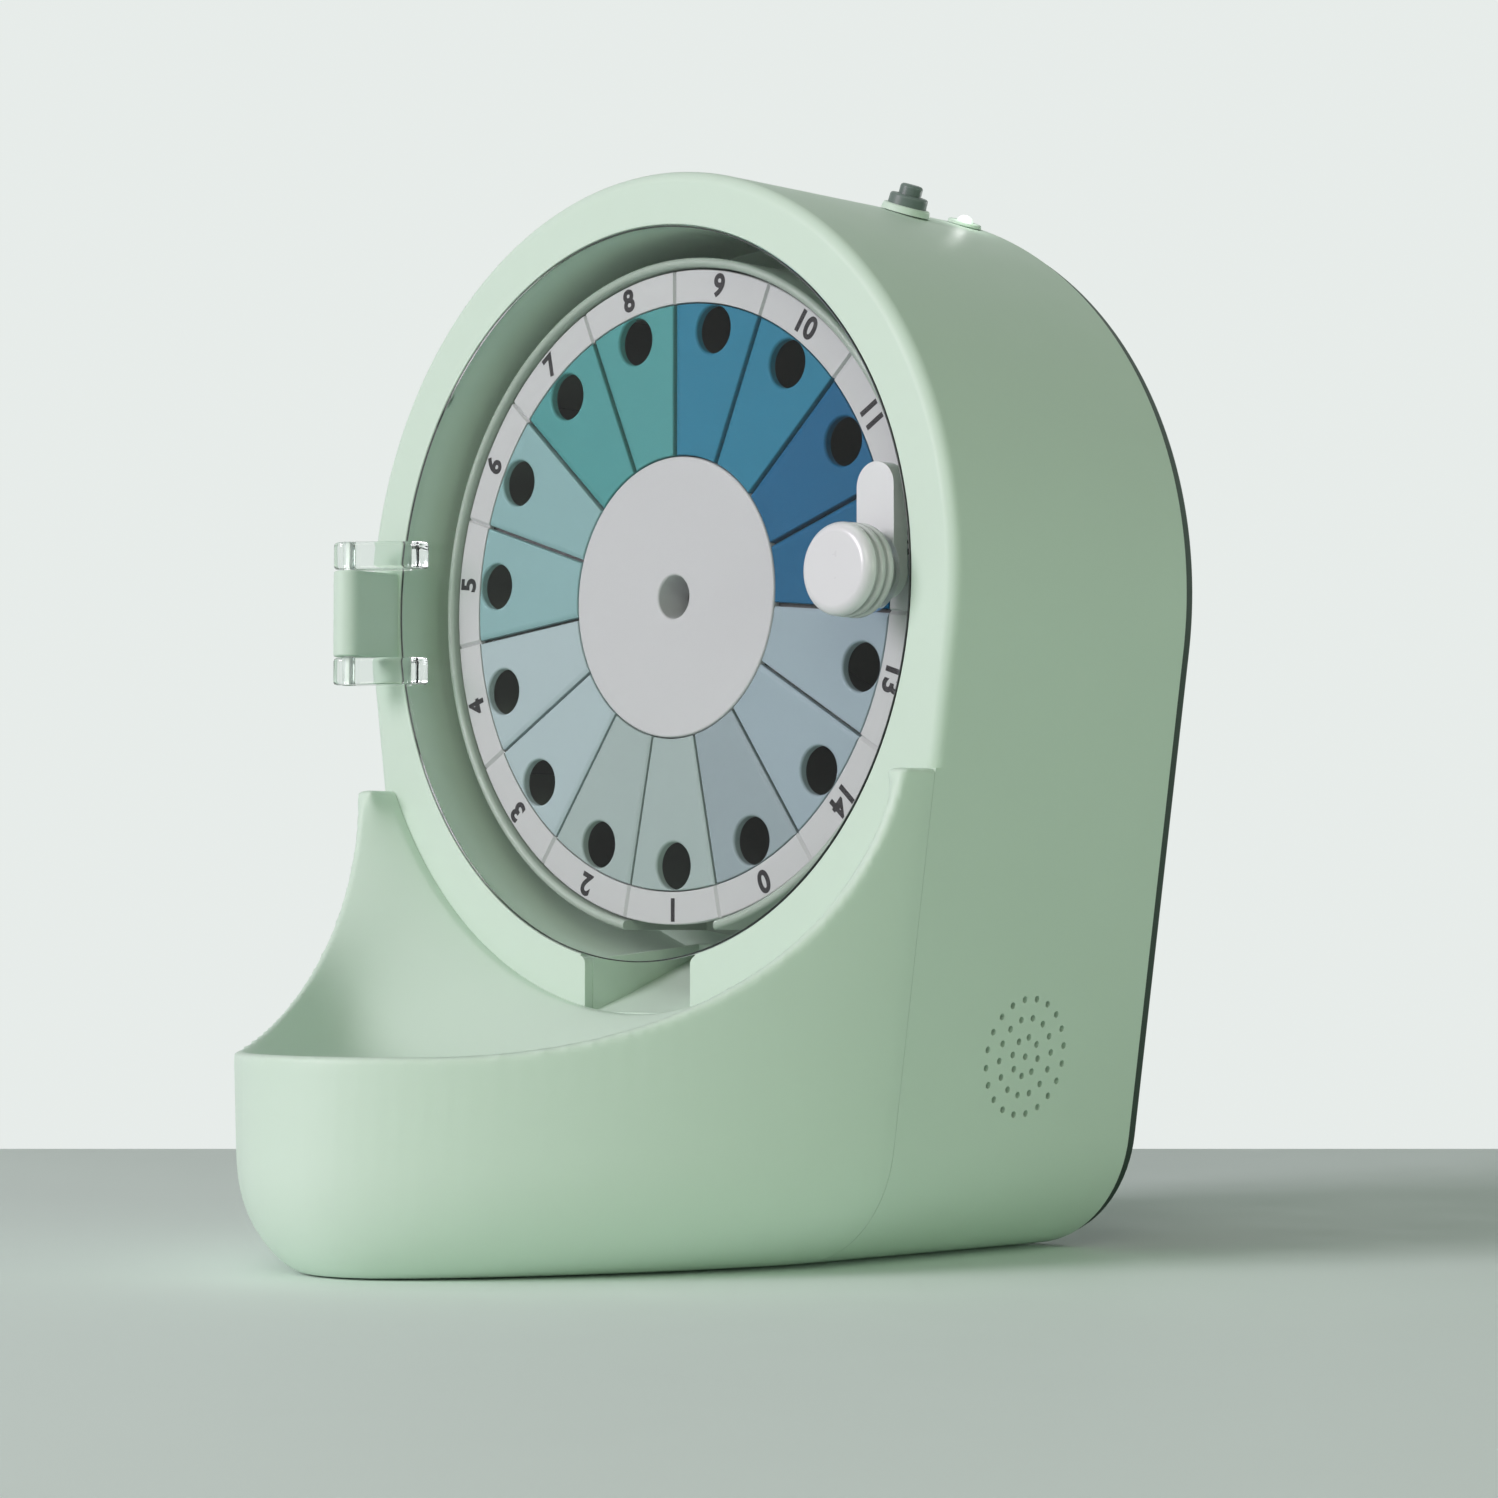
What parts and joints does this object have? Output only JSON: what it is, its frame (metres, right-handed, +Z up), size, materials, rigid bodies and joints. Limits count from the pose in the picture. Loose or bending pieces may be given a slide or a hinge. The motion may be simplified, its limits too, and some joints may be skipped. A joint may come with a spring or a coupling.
{
  "type": "automatic pill dispenser",
  "caption": "Countertop automatic pill dispenser: a motor-driven wheel of lidded compartments behind a clear latched door drops each dose down a chute into a front tray.",
  "frame": {"origin": "centre of the bounding box's bottom face, on the surface that the feet stand on", "axes": "+Z up; the dial, door and tray face -Y; +X is to the viewer's right; the wheel turns about Y"},
  "size_m": [0.2006, 0.1922, 0.2575],
  "materials": {
    "housing_mint": "satin moulded",
    "tray_mint": "satin moulded",
    "cover_green": "fine texture",
    "white_plastic": "smooth",
    "grey_plastic": "satin",
    "clear_plastic": "clear moulded plastic",
    "label_white": "printed band",
    "steel": "machined",
    "bronze": "sintered",
    "gear_nylon": "moulded",
    "rubber": "matt",
    "circuit_board": "lacquered",
    "battery_wrap": "shrink wrap",
    "lid_home": "satin moulded",
    "lid_pair_1": "satin moulded",
    "lid_pair_2": "satin moulded",
    "lid_pair_3": "satin moulded",
    "lid_pair_4": "satin moulded",
    "lid_pair_5": "satin moulded",
    "lid_pair_6": "satin moulded",
    "lid_pair_7": "satin moulded"
  },
  "bodies": {
    "housing": {"housing_shell": "housing_mint", "dial_drum": "housing_mint", "rear_cover": "cover_green", "rear_cover_screw_1": "steel", "rear_cover_screw_2": "steel", "rear_cover_screw_3": "steel", "rear_cover_screw_4": "steel", "battery_door": "cover_green", "battery_pack": "battery_wrap", "power_inlet": "grey_plastic", "pill_tray": "tray_mint", "pill_chute": "tray_mint", "foot_pad_1": "rubber", "foot_pad_2": "rubber", "foot_pad_3": "rubber", "foot_pad_4": "rubber", "carousel_cup": "tray_mint", "spindle_bush": "bronze", "motor": "steel", "motor_bracket": "steel", "bracket_screw_1": "steel", "bracket_screw_2": "steel", "control_board": "circuit_board", "speaker": "grey_plastic", "hinge_pin": "steel", "button_collar": "white_plastic", "button_body": "grey_plastic", "button_spring": "steel", "switch_board": "circuit_board", "light_bezel": "white_plastic", "light_pipe": "clear_plastic"},
    "door": {"door_panel": "clear_plastic"},
    "latch": {"latch_knob": "white_plastic", "latch_knob_cap": "white_plastic", "latch_cam": "white_plastic", "latch_screw": "steel"},
    "carousel": {"compartment_wheel": "white_plastic", "lid_01": "lid_pair_1", "lid_02": "lid_pair_1", "lid_03": "lid_pair_2", "lid_04": "lid_pair_2", "lid_05": "lid_pair_3", "lid_06": "lid_pair_3", "lid_07": "lid_pair_4", "lid_08": "lid_pair_4", "lid_09": "lid_pair_5", "lid_10": "lid_pair_5", "lid_11": "lid_pair_6", "lid_12": "lid_pair_6", "lid_13": "lid_pair_7", "lid_14": "lid_pair_7", "lid_home": "lid_home", "label_ring": "label_white", "hub_cap": "white_plastic", "spindle": "steel", "drive_gear": "gear_nylon", "spindle_screw": "steel"},
    "motor_rotor": {"motor_pinion": "gear_nylon"},
    "button": {"button_plunger": "grey_plastic"}
  },
  "joints": [
    {"name": "door_swing", "type": "hinge", "parent": "housing", "child": "door", "pos_m": [-0.0921, -0.0023, 0.1552], "axis": [0, 0, -1], "range_deg": [0, 110]},
    {"name": "latch_turn", "type": "hinge", "parent": "door", "child": "latch", "pos_m": [0.0749, 0.0103, 0.1552], "axis": [0, 1, 0], "range_deg": [0, 45]},
    {"name": "carousel_spin", "type": "hinge", "parent": "housing", "child": "carousel", "pos_m": [0, 0.0503, 0.1552], "axis": [0, 1, 0], "continuous": true},
    {"name": "motor_spin", "type": "hinge", "parent": "housing", "child": "motor_rotor", "pos_m": [0, 0.0633, 0.1927], "axis": [0, 1, 0], "continuous": true},
    {"name": "button_press", "type": "slide", "parent": "housing", "child": "button", "axis": [-0.3584, 0, -0.9336], "range_m": [0, 0.0015], "stiffness_N_per_m": 600, "deforming": ["button_spring"]}
  ],
  "couplings": [
    {"joint": "motor_spin", "follows": "carousel_spin", "ratio": -4}
  ]
}
